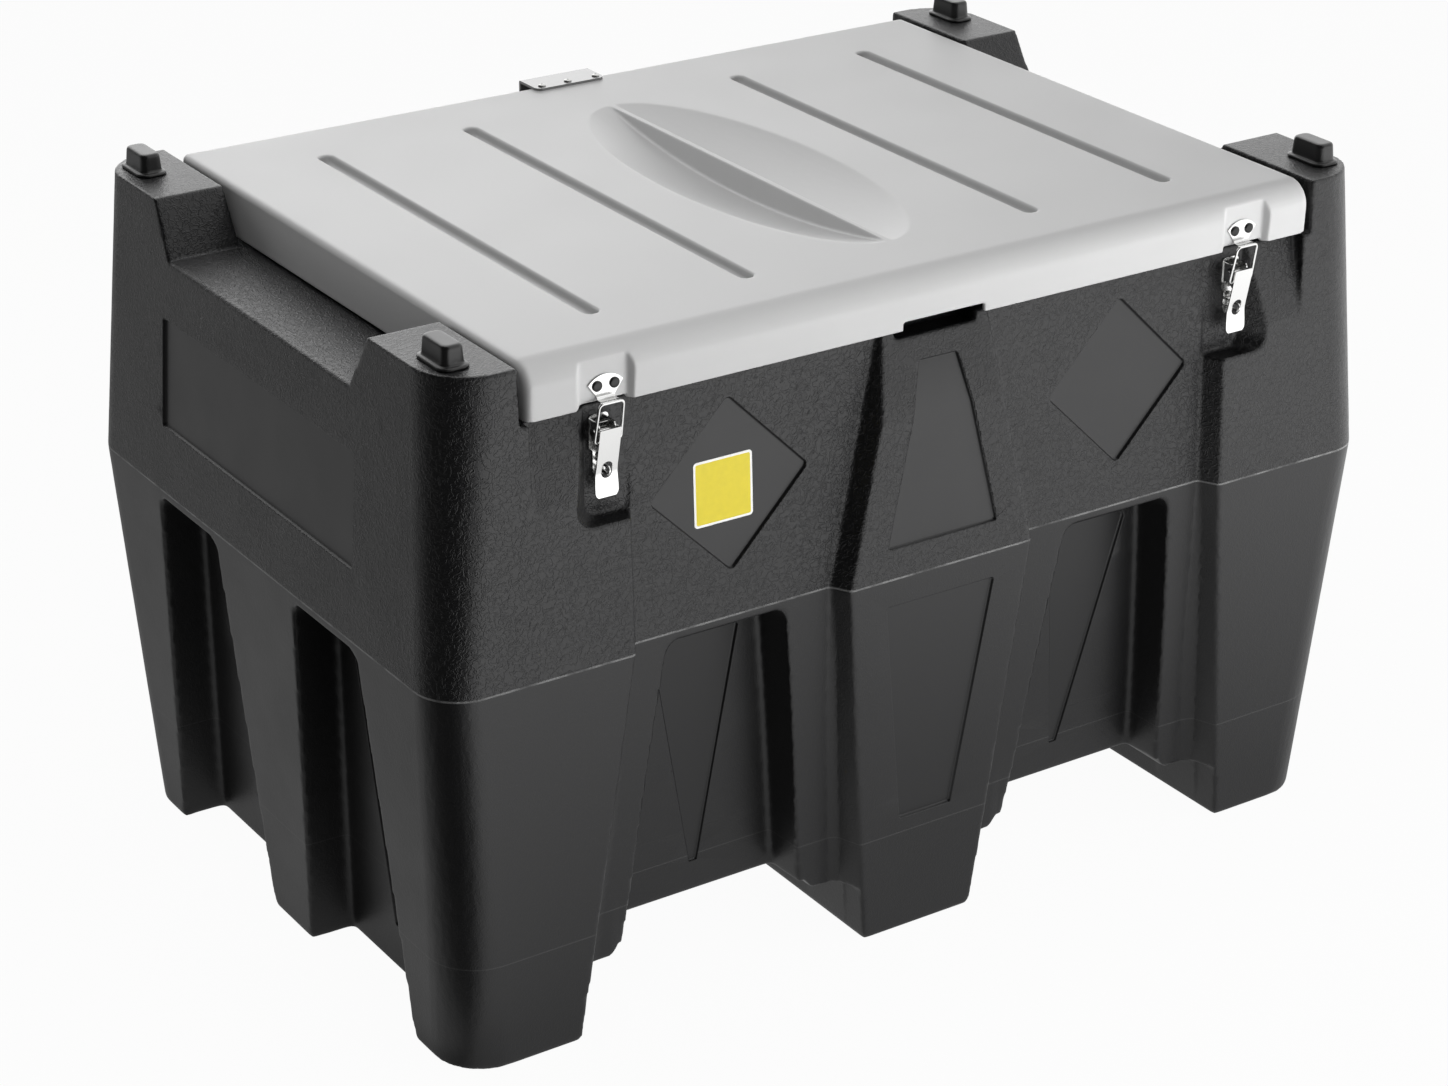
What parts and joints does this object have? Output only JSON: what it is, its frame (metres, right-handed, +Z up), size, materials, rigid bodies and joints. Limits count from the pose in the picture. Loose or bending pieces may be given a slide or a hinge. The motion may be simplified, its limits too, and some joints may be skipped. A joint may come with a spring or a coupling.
{
  "type": "truck bed transfer tank",
  "caption": "Waisted moulded fuel transfer tank with a hinged pump-bay lid, toggle latches, fork channels and stacking posts",
  "frame": {"origin": "middle of the footprint at floor level", "axes": "+X along the length, -Y the latch side, +Z up"},
  "size_m": [1.2, 0.8, 0.794],
  "materials": {
    "body_plastic": "leather grain above the waist, smoother below",
    "lid_plastic": "satin light grey, fine grain",
    "buffer_rubber": "matt",
    "seal_foam": "matt closed-cell foam",
    "stainless": "bright pressed stainless steel",
    "zinc_steel": "zinc-plated, brushed",
    "screw_steel": "zinc-plated",
    "black_plastic": "fine grain",
    "cap_plastic": "red moulded",
    "nitrile": "smooth",
    "dial_lens": "clear",
    "needle_paint": "signal paint",
    "float_foam": "closed-cell foam",
    "cast_paint": "dark grey paint over casting",
    "motor_paint": "dark grey enamel",
    "brass": "machined",
    "aluminium": "machined"
  },
  "bodies": {
    "tank": {"tank_shell": "body_plastic", "stacking_buffers": "buffer_rubber", "lid_seal": "seal_foam", "hinge_body_leaf": "zinc_steel", "hinge_pin": "zinc_steel", "hinge_body_screws": "screw_steel", "latch_base_rivets": "screw_steel", "filler_neck": "black_plastic", "filler_screws": "screw_steel", "vent_body": "brass", "vent_cap": "black_plastic", "gauge_body": "black_plastic", "gauge_screws": "screw_steel", "gauge_lens": "dial_lens", "nozzle_holder": "black_plastic", "holder_screws": "screw_steel", "suction_flange": "black_plastic", "suction_screws": "screw_steel", "suction_pipe": "aluminium", "foot_strainer": "black_plastic", "pump_bracket": "zinc_steel", "bracket_bolts": "screw_steel", "pump_head": "cast_paint", "pump_cover": "cast_paint", "cover_screws": "screw_steel", "motor_can": "motor_paint", "motor_cap": "motor_paint", "switch_box": "black_plastic", "cable_gland": "black_plastic", "outlet_spigot": "brass", "bypass_cap": "brass", "latch_base_left": "stainless", "latch_pivot_left": "stainless", "latch_staple_left": "stainless", "latch_base_right": "stainless", "latch_pivot_right": "stainless", "latch_staple_right": "stainless"},
    "lid": {"lid": "lid_plastic", "hinge_lid_leaf": "zinc_steel", "hinge_lid_screws": "screw_steel", "latch_keeper_left": "stainless", "latch_keeper_right": "stainless", "keeper_rivets": "screw_steel"},
    "lever_left": {"latch_lever_left": "stainless"},
    "lever_right": {"latch_lever_right": "stainless"},
    "bail_left": {"latch_bail_left": "stainless"},
    "bail_right": {"latch_bail_right": "stainless"},
    "cap_seat": {"filler_gasket": "nitrile"},
    "cap": {"filler_cap": "cap_plastic"},
    "float": {"float_arm": "brass", "gauge_float": "float_foam"},
    "needle": {"gauge_needle": "needle_paint"},
    "rocker": {"pump_switch": "cap_plastic"}
  },
  "joints": [
    {"name": "lid_hinge", "type": "hinge", "parent": "tank", "child": "lid", "pos_m": [0, 0.379, 0.723], "axis": [-1, 0, 0], "range_deg": [0, 95]},
    {"name": "latch_left_swing", "type": "hinge", "parent": "tank", "child": "lever_left", "pos_m": [-0.4, -0.38, 0.684], "axis": [-1, 0, 0], "range_deg": [0, 100]},
    {"name": "bail_left_swing", "type": "hinge", "parent": "lever_left", "child": "bail_left", "pos_m": [-0.4, -0.386, 0.675], "axis": [-1, 0, 0], "range_deg": [-120, 0]},
    {"name": "latch_right_swing", "type": "hinge", "parent": "tank", "child": "lever_right", "pos_m": [0.4, -0.38, 0.684], "axis": [-1, 0, 0], "range_deg": [0, 100]},
    {"name": "bail_right_swing", "type": "hinge", "parent": "lever_right", "child": "bail_right", "pos_m": [0.4, -0.386, 0.675], "axis": [-1, 0, 0], "range_deg": [-120, 0]},
    {"name": "cap_lift", "type": "slide", "parent": "tank", "child": "cap_seat", "axis": [0, 0, 1], "range_m": [0, 0.008]},
    {"name": "cap_turn", "type": "hinge", "parent": "cap_seat", "child": "cap", "pos_m": [0.23, -0.04, 0.605], "axis": [0, 0, 1], "range_deg": [0, 360]},
    {"name": "float_swing", "type": "hinge", "parent": "tank", "child": "float", "pos_m": [0.04, -0.06, 0.29], "axis": [1, 0, 0], "range_deg": [0, 120]},
    {"name": "needle_turn", "type": "hinge", "parent": "tank", "child": "needle", "pos_m": [0.04, -0.06, 0.577], "axis": [0, 0, 1], "range_deg": [-180, 0]},
    {"name": "switch_rock", "type": "hinge", "parent": "tank", "child": "rocker", "pos_m": [-0.142, -0.04, 0.724], "axis": [0, 1, 0], "range_deg": [0, 16]}
  ],
  "couplings": [
    {"joint": "bail_left_swing", "follows": "latch_left_swing", "ratio": -1.2},
    {"joint": "bail_right_swing", "follows": "latch_right_swing", "ratio": -1.2},
    {"joint": "cap_turn", "follows": "cap_lift", "rad_per_m": 785.39},
    {"joint": "needle_turn", "follows": "float_swing", "ratio": -1.5}
  ]
}
